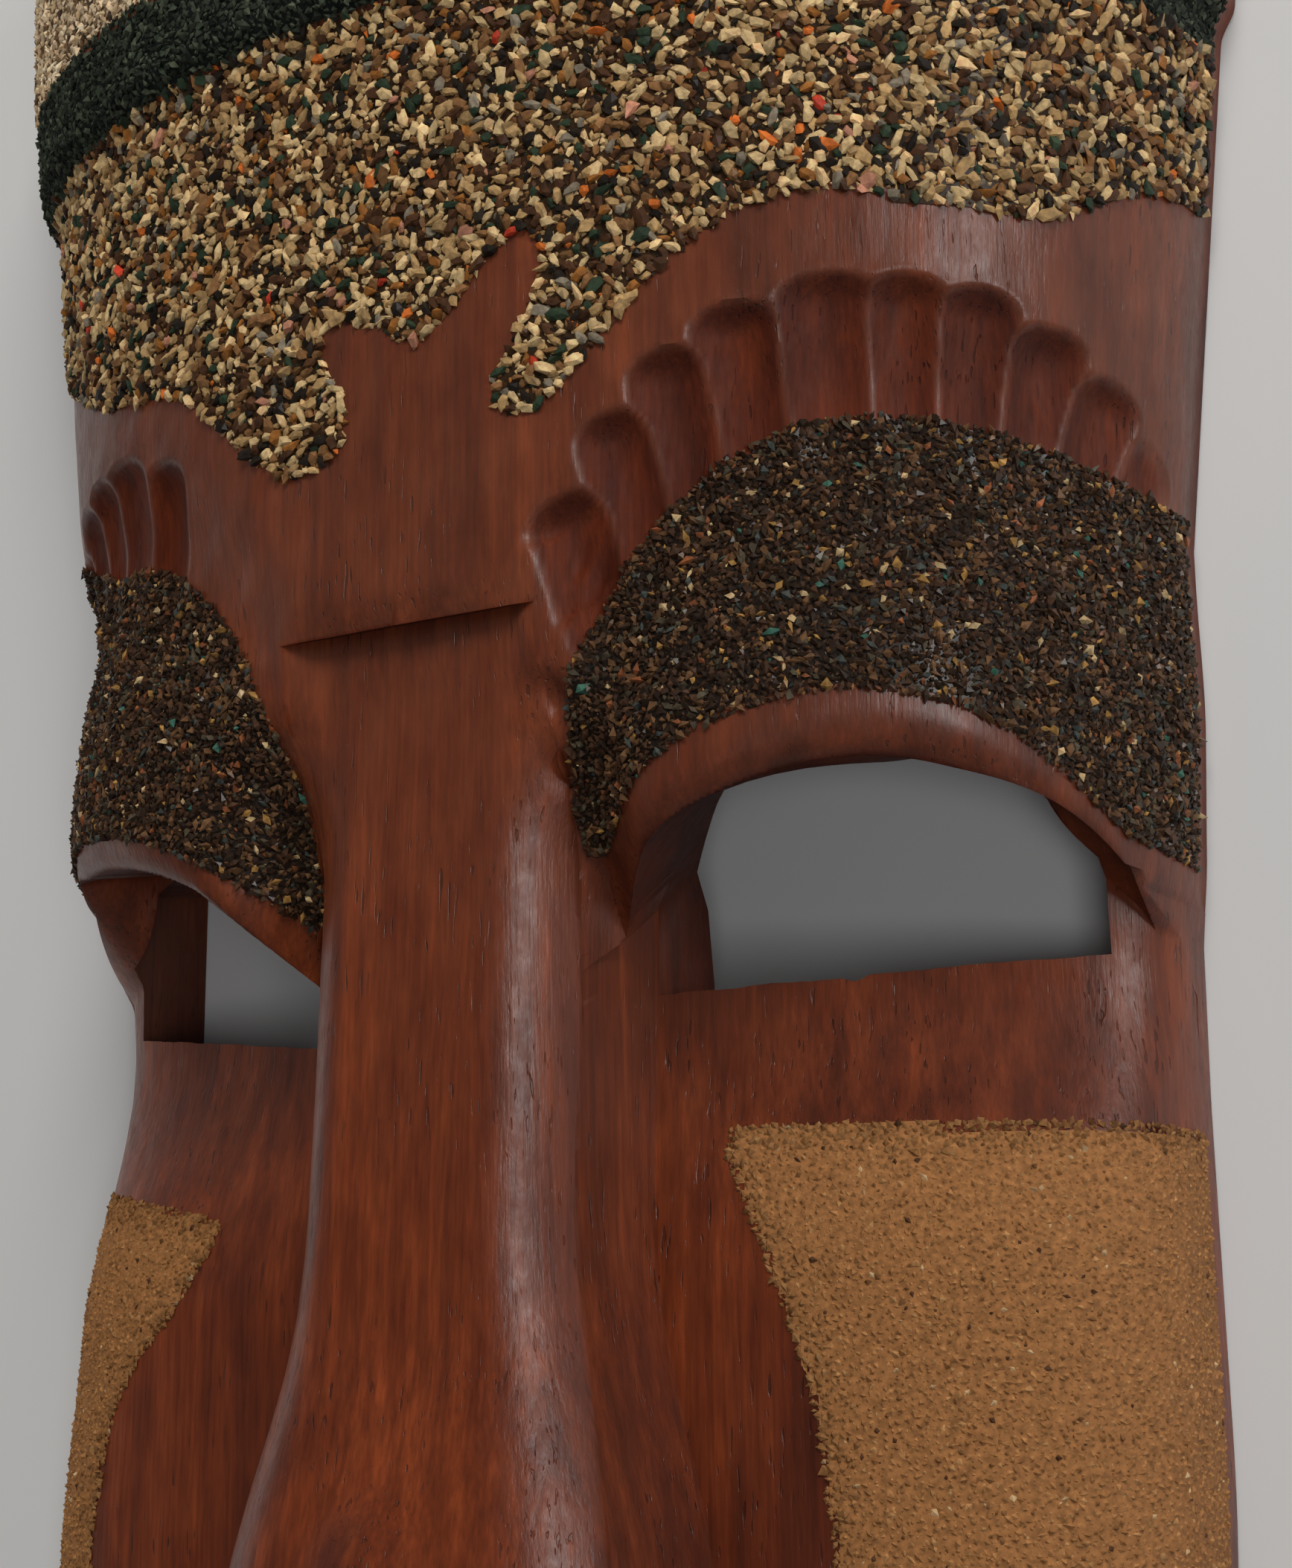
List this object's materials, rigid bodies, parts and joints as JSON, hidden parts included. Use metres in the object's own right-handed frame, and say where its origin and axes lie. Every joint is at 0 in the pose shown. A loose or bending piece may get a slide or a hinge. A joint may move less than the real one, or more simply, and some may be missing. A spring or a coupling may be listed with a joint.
{
  "type": "carved face mask",
  "caption": "Long narrow wooden face mask with a straight nose, arched lids over pierced eyes, fluted gouges round them, and grit and sand glued on forehead, lids and cheeks.",
  "frame": {"origin": "middle of the base, on the plane of the back rim", "axes": "+Z the way the face looks, +Y towards the crown, +X towards the mask's own left ear, which is the right of the picture"},
  "size_m": [0.153, 0.306, 0.0536],
  "materials": {
    "wood": "dark red-brown hardwood, satin varnish",
    "pale_grit": "loose mixed cream, tan, black and green chips, glued",
    "green_grit": "fine dark green grit, glued",
    "crown_sand": "fine pale tan sand, glued",
    "dark_grit": "dark brown and black chips with a few gold ones, glued",
    "tan_sand": "fine tan sand, glued"
  },
  "bodies": {
    "root": {"mask_body": "wood", "forehead_grit": "pale_grit", "forehead_band": "green_grit", "crown_sand": "crown_sand", "eyelid_grit_right": "dark_grit", "eyelid_grit_left": "dark_grit", "cheek_sand_right": "tan_sand", "cheek_sand_left": "tan_sand"}
  },
  "joints": []
}
